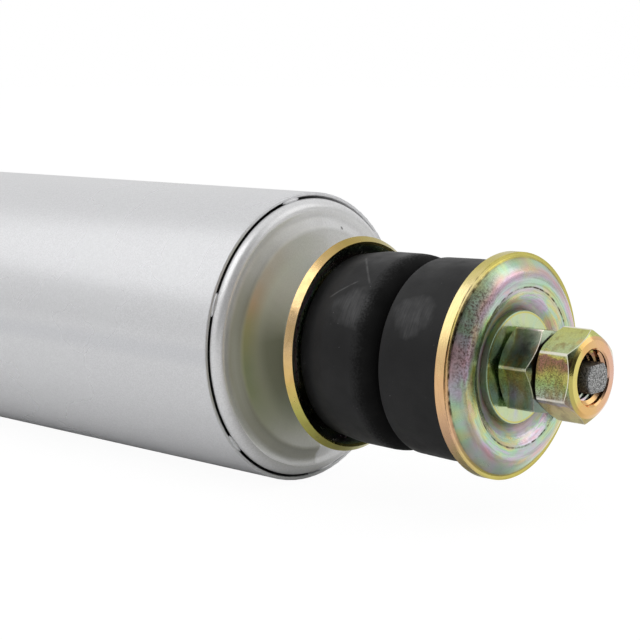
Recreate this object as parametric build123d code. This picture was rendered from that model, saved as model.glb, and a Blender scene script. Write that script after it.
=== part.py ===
from build123d import *
from math import atan2, cos, radians, sin, sqrt, tan
import os

# The axis of the shock absorber runs along X. The lower eye's centre is the origin, the stem
# points to +X, and the eye's own axis runs along Y. The model stands at full extension.
# All sizes are in millimetres.

# Travel
stroke = 150.0
rest_gap = 0.3
compressed_gap = 12.0
float_margin = 6.0

# Fits, as radial clearance
running_fit = 0.05
seal_fit = 0.08
seated_fit = 0.02
hole_clearance = 0.15

# Lower eye
eye_ring_radius = 20.0
eye_ring_wall = 3.5
eye_ring_width = 30.0
eye_bush_width = 34.0
eye_bush_crown = 1.5
eye_sleeve_radius = 9.0
eye_bolt_radius = 6.1
eye_sleeve_length = 38.0

# Welded base of the cylinder
base_land = 2.0
base_flange = 2.5
base_floor = 4.0
base_spigot = 9.0
base_spigot_wall = 2.5
base_neck_radius = 13.0
base_weld_groove = 1.0
base_weld_crown = 0.7

# Cylinder
bore_radius = 23.0
cylinder_wall = 2.0
cylinder_length = 290.0
crimp_radius = 20.5
crimp_bend = 3.0

# Rod guide and seal pack
guide_length = 22.0
guide_bush_wall = 1.0
guide_bush_length = 18.0
guide_pocket_depth = 5.0
guide_pocket_radius = 16.0
seal_length = 8.0
seal_lip_length = 2.2
seal_relief = 2.0
seal_plate_thickness = 2.0
snap_wire_radius = 1.1
snap_groove_share = 0.8
ring_section = 3.0

# Piston rod
rod_radius = 6.5
thread_radius = 4.95
tang_radius = 3.35
tang_length = 7.5
tang_flats = 5.1
tang_roll = 1.0
edge_break = 0.5

# Piston and its valves
rebound_bumper_length = 10.0
rebound_bumper_radius = 13.0
rebound_bumper_rounding = 1.0
rebound_stop_thickness = 3.0
rebound_stop_radius = 15.0
valve_washer_thickness = 1.5
valve_washer_radius = 8.5
shim_thickness = 0.4
compression_shim_radii = [19.5, 17.0, 14.5, 12.0]
rebound_shim_radii = [14.5, 13.5, 12.0, 10.5]
piston_length = 18.0
piston_clearance = 0.6
piston_skirt_depth = 5.0
piston_skirt_wall = 3.0
piston_land_depth = 1.0
piston_land_margin = 0.35
port_count = 6
compression_port_circle = 17.0
compression_port_radius = 1.6
compression_port_arc = 26.0
rebound_port_circle = 11.0
rebound_port_radius = 1.8
band_width = 9.0
band_thickness = 1.4
band_side_gap = 0.1
piston_nut_height = 8.0
piston_nut_flats = 17.0
rod_end_beyond_nut = 2.0

# Floating piston
float_length = 18.0
float_floor = 7.0
float_wall = 4.0
float_chamfer = 1.0

# Dust tube and its pressed cap
dust_tube_radius = 30.0
dust_tube_wall = 1.2
dust_tube_length = 240.0
cap_sheet = 1.5
cap_skirt = 8.0
cap_bead_height = 2.3
cap_bead_width = 3.1
cap_bead_bend = 1.4
cap_valley_height = 1.5
cap_valley_bend = 3.0
cap_slope_width = 2.2
cap_face_height = 3.1
cap_face_bend = 1.2
cap_cone_radius = 10.5
cap_neck_radius = 8.6
cap_neck_height = 6.0
cap_weld_leg = 1.2
spot_weld_count = 6
spot_weld_start = 10.6
spot_weld_arc = 9.0
spot_weld_leg = 0.8
weld_groove = 0.55
tube_edge = 0.3

# Stem mount: cup washers, rubber bushings and nuts
stem_shoulder = 9.8
lower_cup_sheet = 1.7
lower_cup_radius = 21.8
lower_cup_flat = 17.2
lower_cup_rise = 3.1
lower_cup_flare = radians(38)
lower_cup_bend = 3.4
lower_bushing_length = 22.9
lower_bushing_neck = 18.4
bushing_radius = 19.4
lower_bushing_lip = 2.6
lower_bushing_rounding = 2.3
lower_bushing_boss = 2.2
lower_bushing_boss_radius = 14.0
bushing_edge = 0.4
bushing_gap = 0.05
upper_bushing_length = 15.0
upper_cup_sheet = 2.0
upper_cup_radius = 21.4
upper_cup_flat = 11.0
upper_cup_slope_width = 4.25
upper_cup_hump = 2.3
upper_cup_hump_width = 2.4
upper_cup_rim_width = 1.1
upper_cup_bend = 1.2
upper_cup_hump_bend = 3.0
plain_washer_radius = 10.7
plain_washer_thickness = 1.65
nut_flats = 15.0
nut_height = 7.9
nut_face_radius = 6.8
nut_countersink = 0.3
nut_chamfer = radians(30)
main_nut_roll = 20.7
lock_nut_roll = -5.0
tang_proud = 1.0

# Places along X that follow from the sizes above
base_back = eye_ring_radius + base_land
cylinder_start = base_back + base_flange
cylinder_end = cylinder_start + cylinder_length
seal_plate_start = cylinder_end - cylinder_wall - seal_plate_thickness
seal_start = seal_plate_start - seal_length
guide_start = seal_start - guide_length
snap_ring_x = guide_start - snap_wire_radius - seated_fit
rod_shoulder = guide_start - rest_gap - rebound_bumper_length
rebound_stop_start = rod_shoulder - rebound_stop_thickness
upper_valve_washer = rebound_stop_start - valve_washer_thickness
piston_top = upper_valve_washer - shim_thickness * len(compression_shim_radii)
piston_bottom = piston_top - piston_length
piston_face = piston_bottom + piston_skirt_depth
lower_shims_end = piston_face - shim_thickness * len(rebound_shim_radii)
lower_valve_washer = lower_shims_end - valve_washer_thickness
piston_nut_start = lower_valve_washer - piston_nut_height
rod_end = piston_nut_start - rod_end_beyond_nut
float_ratio = rod_radius**2 / bore_radius**2
float_top = rod_end - stroke - float_margin + stroke * float_ratio
float_bottom = float_top - float_length
tube_end = cylinder_end + stroke + compressed_gap
dust_tube_start = tube_end - dust_tube_length
stem_start = tube_end + stem_shoulder
lower_cup_top = stem_start + lower_cup_sheet
bushing_joint = lower_cup_top + lower_bushing_length
upper_bushing_end = bushing_joint + upper_bushing_length
upper_cup_top = upper_bushing_end + upper_cup_sheet
plain_washer_top = upper_cup_top + plain_washer_thickness
main_nut_top = plain_washer_top + nut_height
lock_nut_top = main_nut_top + nut_height
stem_end = lock_nut_top + tang_proud

# Radii that follow from the sizes above
eye_bore_radius = eye_ring_radius - eye_ring_wall
cylinder_radius = bore_radius + cylinder_wall
stem_hole = thread_radius + hole_clearance
piston_radius = bore_radius - piston_clearance
band_outer = bore_radius - running_fit
band_inner = band_outer - band_thickness
band_groove = band_inner - running_fit
dust_tube_bore = dust_tube_radius - dust_tube_wall
snap_ring_radius = bore_radius + snap_groove_share * snap_wire_radius - snap_wire_radius
guide_radius = bore_radius - seated_fit
guide_bush_bore = rod_radius + running_fit
guide_bush_outer = guide_bush_bore + guide_bush_wall


def outline(*corners):
    """Closed profile from (x, radius) or (x, radius, rounding) corners."""
    points = [(corner[0], corner[1]) for corner in corners]
    rounding = [corner[2] if len(corner) > 2 else 0 for corner in corners]
    return make_face(FilletPolyline(*points, radius=rounding, close=True))


def turned(*corners):
    """Solid turned about the shock's axis from the corners of its half section."""
    return revolve(outline(*corners), Axis.X)


def ring(start, end, inner, outer, rounding=0):
    """Plain ring between two places along X, its outer edges rounded."""
    return turned((start, inner), (end, inner), (end, outer, rounding), (start, outer, rounding))


def wire_ring(x, radius, section_radius):
    """Ring of round section about the shock's axis."""
    section = Plane.XY * Pos(x, radius) * Circle(section_radius)
    return revolve(section, Axis.X)


def mitre(before, corner, after, reach):
    """Corner of a sheet's skin, reach to the left of its middle line."""
    before_x, before_r = corner[0] - before[0], corner[1] - before[1]
    after_x, after_r = after[0] - corner[0], after[1] - corner[1]
    first = atan2(before_r, before_x)
    turn = atan2(after_r, after_x) - first
    slant = reach / cos(turn / 2)
    normal = first + turn / 2
    return corner[0] - slant * sin(normal), corner[1] + slant * cos(normal)


def skin(corners, reach):
    """One skin of a pressed sheet as (x, radius, bend) corners, reach from its middle line."""
    skin_corners = []
    for place, corner in enumerate(corners):
        before = corners[max(place - 1, 0)]
        after = corners[min(place + 1, len(corners) - 1)]
        if place == 0:
            before = (2 * corner[0] - after[0], 2 * corner[1] - after[1])
        if place == len(corners) - 1:
            after = (2 * corner[0] - before[0], 2 * corner[1] - before[1])
        x, radius = mitre(before, corner, after, reach)
        bend = corner[2] if len(corner) > 2 else 0
        turn_to_left = (corner[0] - before[0]) * (after[1] - corner[1]) > (
            corner[1] - before[1]
        ) * (after[0] - corner[0])
        skin_bend = max(bend - reach if turn_to_left else bend + reach, 0) if bend else 0
        skin_corners.append((x, radius, skin_bend))
    return skin_corners


def pressed(sheet, *corners):
    """Turned sheet of even thickness that follows the corners of its middle line."""
    left = skin(corners, sheet / 2)
    right = skin(corners, -sheet / 2)
    return turned(*left, *reversed(right))


def across(solid):
    """Turn a piece made along X to lie along Y, the axis of the lower eye."""
    return Rot(0, 0, 90) * solid


def roll(solid, angle):
    """Roll a piece about the shock's axis."""
    return solid.rotate(Axis.X, angle)


def hexagon_blank(start, height, flats, face_radius, phase):
    """Hexagonal blank with both ends chamfered."""
    corner = flats / sqrt(3)
    rise = (corner - face_radius) * tan(nut_chamfer)
    hexagon = Plane.YZ.offset(start) * RegularPolygon(
        flats / 2, 6, major_radius=False, rotation=90 + phase
    )
    envelope = turned(
        (start, 0),
        (start, face_radius),
        (start + rise, corner),
        (start + height - rise, corner),
        (start + height, face_radius),
        (start + height, 0),
    )
    return extrude(hexagon, height) & envelope


def nut(start, height, flats, face_radius, phase):
    """Hexagon nut on the stem, its bore countersunk at both faces."""
    blank = hexagon_blank(start, height, flats, face_radius, phase)
    bore = turned(
        (start - 1, 0),
        (start - 1, stem_hole + nut_countersink + 1),
        (start + nut_countersink, stem_hole),
        (start + height - nut_countersink, stem_hole),
        (start + height + 1, stem_hole + nut_countersink + 1),
        (start + height + 1, 0),
    )
    return blank - bore


# Lower eye


def make_eye_ring():
    """Steel ring of the lower eye with broken edges."""
    half = eye_ring_width / 2
    return across(
        turned(
            (-half, eye_bore_radius),
            (half, eye_bore_radius),
            (half, eye_ring_radius, edge_break),
            (-half, eye_ring_radius, edge_break),
        )
    )


def make_eye_bush():
    """Rubber bush pressed in the eye, crowned where it stands out of the ring."""
    half = eye_bush_width / 2
    shoulder = eye_ring_width / 2
    outer = eye_bore_radius - seated_fit
    inner = eye_sleeve_radius + running_fit
    crown = outer - eye_bush_crown
    return across(
        turned(
            (-half, inner),
            (half, inner),
            (half, crown, eye_bush_crown / 2),
            (shoulder, outer),
            (-shoulder, outer),
            (-half, crown, eye_bush_crown / 2),
        )
    )


def make_eye_sleeve():
    """Steel sleeve that takes the lower mounting bolt."""
    half = eye_sleeve_length / 2
    return across(
        turned(
            (-half, eye_bolt_radius, edge_break),
            (half, eye_bolt_radius, edge_break),
            (half, eye_sleeve_radius, edge_break),
            (-half, eye_sleeve_radius, edge_break),
        )
    )


# Cylinder and its closed base


def make_base_cup():
    """Base of the cylinder: a spigot inside the tube, a flange, and a saddled neck on the eye."""
    spigot_end = cylinder_start + base_spigot
    spigot_radius = bore_radius - seated_fit
    cup = turned(
        (base_back, 0),
        (base_back, cylinder_radius, edge_break),
        (cylinder_start - base_weld_groove, cylinder_radius),
        (cylinder_start, cylinder_radius - base_weld_groove),
        (cylinder_start, spigot_radius),
        (spigot_end, spigot_radius, edge_break),
        (spigot_end, spigot_radius - base_spigot_wall, edge_break),
        (base_back + base_floor + base_flange, spigot_radius - base_spigot_wall, base_spigot_wall),
        (base_back + base_floor + base_flange, 0),
    )
    neck = turned(
        (0, 0),
        (0, base_neck_radius),
        (base_back, base_neck_radius),
        (base_back, 0),
    )
    saddle = across(
        turned(
            (-cylinder_radius, 0),
            (-cylinder_radius, eye_ring_radius + seated_fit),
            (cylinder_radius, eye_ring_radius + seated_fit),
            (cylinder_radius, 0),
        )
    )
    return cup + (neck - saddle)


def make_base_weld():
    """Weld bead that fills the groove between the base and the tube, with a low crown."""
    toe = cylinder_radius
    root = cylinder_radius - base_weld_groove + 2 * seated_fit
    return turned(
        (cylinder_start, root),
        (cylinder_start + base_weld_groove - seated_fit, toe),
        (cylinder_start + base_weld_groove / 2, toe + base_weld_crown, base_weld_crown / 2),
        (cylinder_start - base_weld_groove / 2, toe + base_weld_crown, base_weld_crown / 2),
        (cylinder_start - base_weld_groove + seated_fit, toe),
    )


def make_cylinder_tube():
    """Pressure tube with a rolled-in end, a weld chamfer and the groove of the snap ring."""
    inner_bend = crimp_bend - cylinder_wall
    tube = turned(
        (cylinder_start, bore_radius),
        (cylinder_start, cylinder_radius - base_weld_groove),
        (cylinder_start + base_weld_groove, cylinder_radius),
        (cylinder_end, cylinder_radius, crimp_bend),
        (cylinder_end, crimp_radius, edge_break),
        (cylinder_end - cylinder_wall, crimp_radius, edge_break),
        (cylinder_end - cylinder_wall, bore_radius, inner_bend),
    )
    groove_radius = snap_wire_radius + seated_fit
    groove = wire_ring(snap_ring_x, snap_ring_radius, groove_radius)
    return tube - groove


def make_guide_snap_ring():
    """Round wire ring that carries the rod guide from below."""
    return wire_ring(snap_ring_x, snap_ring_radius, snap_wire_radius)


# Rod guide and seal pack


def make_rod_guide():
    """Sintered guide with a bearing bore, a lower pocket and a groove for its sealing ring."""
    seat_radius = guide_bush_outer + seated_fit
    groove_start = guide_start + (guide_length - ring_section) / 2
    groove_end = groove_start + ring_section
    groove_floor = guide_radius - ring_section
    bush_start = seal_start - guide_bush_length
    pocket_radius = guide_pocket_radius
    return turned(
        (bush_start, seat_radius),
        (seal_start, seat_radius, edge_break),
        (seal_start, guide_radius, edge_break),
        (groove_end, guide_radius),
        (groove_end, groove_floor),
        (groove_start, groove_floor),
        (groove_start, guide_radius),
        (guide_start, guide_radius, edge_break),
        (guide_start, pocket_radius, edge_break),
        (bush_start, pocket_radius - guide_pocket_depth, edge_break),
    )


def make_guide_bush():
    """Thin bearing bush that the rod slides in."""
    return ring(seal_start - guide_bush_length, seal_start, guide_bush_bore, guide_bush_outer)


def make_guide_seal_ring():
    """Rubber ring of round section in the rod guide's groove."""
    section_radius = ring_section / 2 - seated_fit
    return wire_ring(
        guide_start + guide_length / 2, guide_radius - section_radius, section_radius
    )


def make_rod_seal():
    """Rubber rod seal: two lips on the rod with a relief between them."""
    lip = rod_radius + seal_fit
    relief = lip + seal_relief
    outer = bore_radius - seated_fit
    end = seal_start + seal_length
    return turned(
        (seal_start, lip + seal_relief / 2),
        (seal_start + seal_lip_length / 2, lip),
        (seal_start + seal_lip_length, lip),
        (seal_start + seal_lip_length + seal_relief / 2, relief, seal_relief / 4),
        (end - seal_lip_length - seal_relief / 2, relief, seal_relief / 4),
        (end - seal_lip_length, lip),
        (end - seal_lip_length / 2, lip),
        (end, lip + seal_relief / 2),
        (end, outer),
        (seal_start, outer),
    )


def make_seal_plate():
    """Steel plate between the rod seal and the rolled end of the tube."""
    return ring(
        seal_plate_start,
        seal_plate_start + seal_plate_thickness,
        rod_radius + seal_relief,
        bore_radius - (crimp_bend - cylinder_wall),
        edge_break,
    )


# Floating piston


def make_floating_piston():
    """Cup that parts the oil from the gas, open towards the oil, grooved for its ring."""
    radius = bore_radius - running_fit
    cup_radius = radius - float_wall
    floor = float_bottom + float_floor
    groove_start = float_bottom + (float_length - ring_section) / 2
    groove_end = groove_start + ring_section
    groove_floor = radius - ring_section
    return turned(
        (float_bottom, 0),
        (float_bottom, radius - float_chamfer),
        (float_bottom + float_chamfer, radius),
        (groove_start, radius),
        (groove_start, groove_floor),
        (groove_end, groove_floor),
        (groove_end, radius),
        (float_top - float_chamfer, radius),
        (float_top, radius - float_chamfer),
        (float_top, cup_radius, edge_break),
        (floor, cup_radius - float_wall / 2, float_wall / 2),
        (floor, 0),
    )


def make_floating_ring():
    """Rubber ring of round section round the floating piston."""
    section_radius = ring_section / 2 - seated_fit
    return wire_ring(
        float_bottom + float_length / 2,
        bore_radius - running_fit - section_radius,
        section_radius,
    )


# Piston rod, piston and valves


def make_piston_rod():
    """Chromed rod, reduced at both ends for threads, with a two-flat tang on the stem."""
    rod = turned(
        (rod_end, 0),
        (rod_end, thread_radius, edge_break),
        (rod_shoulder, thread_radius),
        (rod_shoulder, rod_radius, edge_break / 2),
        (stem_start, rod_radius, edge_break / 2),
        (stem_start, thread_radius),
        (stem_end - tang_length, thread_radius, edge_break),
        (stem_end - tang_length, tang_radius),
        (stem_end, tang_radius, edge_break),
        (stem_end, 0),
    )
    flat_depth = thread_radius
    flat = Pos(stem_end - tang_length / 2, 0, tang_flats / 2 + flat_depth / 2) * Box(
        tang_length, 2 * thread_radius, flat_depth
    )
    for side in (0, 180):
        rod -= roll(flat, tang_roll + side)
    return rod


def make_rebound_bumper():
    """Rubber ring that cushions full extension."""
    return ring(
        rod_shoulder,
        rod_shoulder + rebound_bumper_length,
        rod_radius + hole_clearance,
        rebound_bumper_radius,
        rebound_bumper_rounding,
    )


def make_rebound_stop():
    """Steel stop clamped against the rod's shoulder."""
    return ring(
        rebound_stop_start, rod_shoulder, stem_hole, rebound_stop_radius, edge_break
    )


def make_shims(start, radii, step):
    """Stack of spring-steel discs, one solid each, smaller away from the piston."""
    discs = []
    for place, radius in enumerate(radii):
        face = start + step * place * shim_thickness
        low, high = sorted((face, face + step * shim_thickness))
        discs.append(ring(low, high, stem_hole, radius))
    return Compound(children=discs)


def make_valve_washers():
    """The two clamping washers, one beside each stack of discs."""
    upper = ring(
        upper_valve_washer, rebound_stop_start, stem_hole, valve_washer_radius
    )
    lower = ring(lower_valve_washer, lower_shims_end, stem_hole, valve_washer_radius)
    return Compound(children=[upper, lower])


def make_piston():
    """Piston with a banded outside, seat lands, a skirt, and two rings of oil ports."""
    skirt_bore = piston_radius - piston_skirt_wall
    groove_start = piston_bottom + (piston_length - band_width) / 2 - band_side_gap
    groove_end = groove_start + band_width + 2 * band_side_gap
    body = turned(
        (piston_face, stem_hole),
        (piston_top, stem_hole),
        (piston_top, piston_radius, edge_break),
        (groove_end, piston_radius),
        (groove_end, band_groove),
        (groove_start, band_groove),
        (groove_start, piston_radius),
        (piston_bottom, piston_radius, edge_break),
        (piston_bottom, skirt_bore, edge_break),
        (piston_face, skirt_bore - edge_break, edge_break),
    )
    land = ring(
        piston_top - piston_land_depth,
        piston_top,
        compression_port_circle - compression_port_radius - piston_land_margin,
        compression_port_circle + compression_port_radius + piston_land_margin,
    )
    lower_land = ring(
        piston_face,
        piston_face + piston_land_depth,
        rebound_port_circle - rebound_port_radius - piston_land_margin,
        rebound_port_circle + rebound_port_radius + piston_land_margin,
    )
    body = body - land - lower_land
    return body - compression_ports() - rebound_ports()


def compression_ports():
    """Curved slots through the piston, under the upper stack of discs."""
    centre_arc = CenterArc(
        (0, 0), compression_port_circle, -compression_port_arc / 2, compression_port_arc
    )
    slot = Plane.YZ.offset(piston_face) * SlotArc(centre_arc, 2 * compression_port_radius)
    port = extrude(slot, piston_top - piston_face)
    spread = [roll(port, 360 * place / port_count) for place in range(port_count)]
    return Compound(children=spread)


def rebound_ports():
    """Round holes through the piston, under the lower stack of discs."""
    holes = []
    for place in range(port_count):
        angle = 360 * (place + 0.5) / port_count
        port = Plane.YZ.offset(piston_face) * Pos(rebound_port_circle, 0) * Circle(
            rebound_port_radius
        )
        holes.append(roll(extrude(port, piston_top - piston_face), angle))
    return Compound(children=holes)


def make_piston_band():
    """Bearing band in the piston's groove."""
    start = piston_bottom + (piston_length - band_width) / 2
    return ring(start, start + band_width, band_inner, band_outer)


def make_piston_nut():
    """Nut that clamps the valve stack on the rod's inner thread."""
    face_radius = piston_nut_flats / 2 - edge_break
    return nut(piston_nut_start, piston_nut_height, piston_nut_flats, face_radius, 0)


# Dust tube and cap


def make_dust_tube():
    """Thin outer tube that covers the rod, its upper end chamfered inside for the spot welds."""
    return turned(
        (dust_tube_start, dust_tube_bore),
        (tube_end - weld_groove, dust_tube_bore),
        (tube_end, dust_tube_bore + weld_groove),
        (tube_end, dust_tube_radius, tube_edge),
        (dust_tube_start, dust_tube_radius, tube_edge),
    )


def make_dust_cap():
    """Pressed cap: a skirt in the tube, a rolled bead, a valley, a raised face and a neck."""
    end = tube_end - cap_sheet / 2
    skirt_radius = dust_tube_bore - seated_fit - cap_sheet / 2
    valley_radius = skirt_radius - cap_bead_width
    face_radius = valley_radius - cap_slope_width
    return pressed(
        cap_sheet,
        (tube_end - cap_skirt, skirt_radius),
        (end + cap_bead_height, skirt_radius, cap_bead_bend),
        (end + cap_valley_height, valley_radius, cap_valley_bend),
        (end + cap_face_height, face_radius, cap_face_bend),
        (end + cap_face_height, cap_cone_radius, cap_sheet),
        (end + cap_neck_height, cap_neck_radius, cap_sheet),
        (end + cap_neck_height, rod_radius + seated_fit),
    )


def make_cap_weld():
    """Weld bead round the rod where the cap sits on it."""
    start = tube_end + cap_neck_height
    inner = rod_radius + seated_fit
    return turned(
        (start, inner),
        (start + cap_weld_leg, inner),
        (start, inner + cap_weld_leg),
    )


def make_spot_welds():
    """Short beads in the groove between the dust tube's end and the cap, evenly spread."""
    bead = outline(
        (tube_end - weld_groove + 2 * seated_fit, dust_tube_bore),
        (tube_end + seated_fit, dust_tube_bore + weld_groove - seated_fit),
        (tube_end + spot_weld_leg, dust_tube_bore),
    )
    arc = revolve(bead, Axis.X, spot_weld_arc)
    first = spot_weld_start - spot_weld_arc / 2 + 90
    spread = [
        roll(arc, first + 360 * place / spot_weld_count) for place in range(spot_weld_count)
    ]
    return Compound(children=spread)


# Stem mount


def make_lower_cup_washer():
    """Dished washer on the stem's shoulder, its lip flared round the lower bushing."""
    middle = stem_start + lower_cup_sheet / 2
    lip_radius = lower_cup_radius - lower_cup_sheet * sin(lower_cup_flare) / 2
    return pressed(
        lower_cup_sheet,
        (middle, stem_hole),
        (middle, lower_cup_flat, lower_cup_bend),
        (middle + lower_cup_rise, lip_radius),
    )


def make_lower_bushing():
    """Rubber bushing in the lower cup, waisted near it, with a boss at the joint."""
    shoulder = bushing_joint - lower_bushing_boss
    return turned(
        (lower_cup_top, stem_hole),
        (lower_cup_top, lower_cup_flat - lower_cup_sheet),
        (lower_cup_top + lower_cup_rise, lower_bushing_neck),
        (shoulder - lower_bushing_lip, bushing_radius),
        (shoulder, bushing_radius, lower_bushing_rounding),
        (shoulder, lower_bushing_boss_radius),
        (bushing_joint, lower_bushing_boss_radius),
        (bushing_joint, stem_hole),
    )


def make_upper_bushing():
    """Rubber bushing under the upper cup, with a sharp moulded edge at the joint."""
    return turned(
        (bushing_joint + bushing_gap, stem_hole),
        (bushing_joint + bushing_gap, bushing_radius, bushing_edge),
        (upper_bushing_end, bushing_radius, bushing_edge),
        (upper_bushing_end, stem_hole),
    )


def make_upper_cup_washer():
    """Washer with a sunk centre, a creased raised ring and a flat rim."""
    middle = upper_bushing_end + upper_cup_sheet / 2
    crest_start = upper_cup_flat + upper_cup_slope_width
    crest_end = crest_start + upper_cup_hump_width
    return pressed(
        upper_cup_sheet,
        (middle, stem_hole),
        (middle, upper_cup_flat, upper_cup_bend),
        (middle + upper_cup_hump, crest_start),
        (middle + upper_cup_hump, crest_end, upper_cup_hump_bend),
        (middle, upper_cup_radius - upper_cup_rim_width, upper_cup_bend),
        (middle, upper_cup_radius),
    )


def make_plain_washer():
    """Flat washer under the main nut."""
    return ring(upper_cup_top, plain_washer_top, stem_hole, plain_washer_radius, edge_break / 2)


def make_main_nut():
    """Hexagon nut that clamps the stem mount."""
    return nut(plain_washer_top, nut_height, nut_flats, nut_face_radius, main_nut_roll)


def make_lock_nut():
    """Second hexagon nut, turned against the first."""
    return nut(main_nut_top, nut_height, nut_flats, nut_face_radius, lock_nut_roll)


pieces = {
    "eye_ring": make_eye_ring(),
    "eye_bush": make_eye_bush(),
    "eye_sleeve": make_eye_sleeve(),
    "base_cup": make_base_cup(),
    "base_weld": make_base_weld(),
    "cylinder_tube": make_cylinder_tube(),
    "guide_snap_ring": make_guide_snap_ring(),
    "rod_guide": make_rod_guide(),
    "guide_bush": make_guide_bush(),
    "guide_seal_ring": make_guide_seal_ring(),
    "rod_seal": make_rod_seal(),
    "seal_plate": make_seal_plate(),
    "floating_piston": make_floating_piston(),
    "floating_ring": make_floating_ring(),
    "piston_rod": make_piston_rod(),
    "rebound_bumper": make_rebound_bumper(),
    "rebound_stop": make_rebound_stop(),
    "compression_discs": make_shims(piston_top, compression_shim_radii, 1),
    "piston": make_piston(),
    "piston_band": make_piston_band(),
    "rebound_discs": make_shims(piston_face, rebound_shim_radii, -1),
    "valve_washers": make_valve_washers(),
    "piston_nut": make_piston_nut(),
    "dust_tube": make_dust_tube(),
    "dust_cap": make_dust_cap(),
    "cap_weld": make_cap_weld(),
    "spot_welds": make_spot_welds(),
    "lower_cup_washer": make_lower_cup_washer(),
    "lower_bushing": make_lower_bushing(),
    "upper_bushing": make_upper_bushing(),
    "upper_cup_washer": make_upper_cup_washer(),
    "plain_washer": make_plain_washer(),
    "main_nut": make_main_nut(),
    "lock_nut": make_lock_nut(),
}

os.makedirs("parts", exist_ok=True)
for name, piece in pieces.items():
    export_step(piece, f"parts/{name}.step")
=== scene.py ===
import math

import bpy
from mathutils import Matrix, Vector


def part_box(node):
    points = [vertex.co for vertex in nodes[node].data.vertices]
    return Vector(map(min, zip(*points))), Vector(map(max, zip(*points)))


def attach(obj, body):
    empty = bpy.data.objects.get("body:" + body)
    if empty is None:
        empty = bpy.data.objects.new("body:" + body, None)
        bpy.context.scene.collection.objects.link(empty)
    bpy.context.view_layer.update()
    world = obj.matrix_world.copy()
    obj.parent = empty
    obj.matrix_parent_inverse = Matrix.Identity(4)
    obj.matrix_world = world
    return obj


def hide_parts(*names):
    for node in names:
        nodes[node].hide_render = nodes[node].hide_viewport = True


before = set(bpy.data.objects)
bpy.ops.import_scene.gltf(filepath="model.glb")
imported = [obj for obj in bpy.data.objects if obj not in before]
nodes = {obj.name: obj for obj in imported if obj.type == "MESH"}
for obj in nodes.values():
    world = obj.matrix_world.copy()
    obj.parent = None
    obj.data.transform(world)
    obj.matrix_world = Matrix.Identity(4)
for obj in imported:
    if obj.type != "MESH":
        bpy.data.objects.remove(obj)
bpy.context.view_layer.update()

MM = 0.001

# Camera, as the photograph was taken
CAMERA_PLACE = Vector((0.6993, -0.2463, 0.0538))
CAMERA_AIM = Vector((-0.6582, 0.7379, -0.1496))
CAMERA_LENS = 91.3
CAMERA_SENSOR = 36.0

# The studio is dark to one side: its direction, the cosines it darkens between, and its level
DARK_SIDE = (0.95, -0.22, 0.22)
DARK_CONE = (0.60, 0.92)
DARK_LEVEL = 0.06

# The studio dims a little towards the horizon, between two heights
HORIZON = (0.04, 0.22)
HORIZON_LEVEL = 0.85

# Softboxes, as place, point they face, size and power
SOFTBOXES = {
    "key": ((-0.04, -0.31, 0.52), (0.46, 0, 0), 0.6, 0.57),
    "front": ((0.70, -0.42, 0.64), (0.52, 0, 0), 0.6, 1.3),
    "back": ((1.04, 0.44, 0.45), (0.54, 0, 0), 0.5, 0.6),
}


# Sizes of the CAD pieces


def reach(node):
    """Start, end and outer radius of a piece turned about the shock's axis, in millimetres."""
    low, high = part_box(node)
    return low[0] / MM, high[0] / MM, high[2] / MM


TUBE_END = reach("dust_tube")[1]
TUBE_RADIUS = reach("dust_tube")[2]
STEM_END = reach("piston_rod")[1]
STEM_START = reach("lower_cup_washer")[0]
CUP_RADIUS = reach("upper_cup_washer")[2]
LIP_RADIUS = reach("lower_cup_washer")[2]
NUT_TOP = reach("lock_nut")[1]

# Bore radius of the bushings on the stem, and the play where a bushing seats
STEM_BORE = 5.15
SEAT = 0.02

# The dust tube lies on the floor, with a hair of air under it, in metres
FLOOR_HEIGHT = -0.0301


# Mesh helpers

# Faces that meet at more than this many degrees keep a sharp edge
SHARP_ANGLE = 35


def arc_corner(before, corner, after, radius, steps):
    """Points that round one corner of a profile, or the sharp corner itself."""
    if radius <= 0:
        return [corner.copy()]
    inward = (before - corner).normalized()
    outward = (after - corner).normalized()
    half = math.acos(max(-1.0, min(1.0, inward.dot(outward)))) / 2
    setback = radius / math.tan(half)
    centre = corner + (inward + outward).normalized() * (radius / math.sin(half))
    start = corner + inward * setback - centre
    swing = start.angle_signed(corner + outward * setback - centre)
    points = []
    for step in range(steps + 1):
        spoke = start.copy()
        spoke.rotate(Matrix.Rotation(-swing * step / steps, 2))
        points.append(centre + spoke)
    return points


def profile(corners, steps):
    """Closed profile in millimetres from (x, radius[, rounding]) corners."""
    places = [Vector(corner[:2]) for corner in corners]
    points = []
    for index, corner in enumerate(corners):
        rounding = corner[2] if len(corner) > 2 else 0
        before = places[index - 1]
        after = places[(index + 1) % len(places)]
        points += arc_corner(before, places[index], after, rounding, steps)
    return points


def finish_mesh(name, points, faces, body, material):
    """Object from points in metres and faces, smooth but for its sharp edges."""
    mesh = bpy.data.meshes.new(name)
    mesh.from_pydata(points, [], faces)
    mesh.validate()
    mesh.polygons.foreach_set("use_smooth", [True] * len(mesh.polygons))
    mesh.set_sharp_from_angle(angle=math.radians(SHARP_ANGLE))
    piece = bpy.data.objects.new(name, mesh)
    bpy.context.scene.collection.objects.link(piece)
    mesh.materials.append(material)
    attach(piece, body)
    return piece


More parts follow.
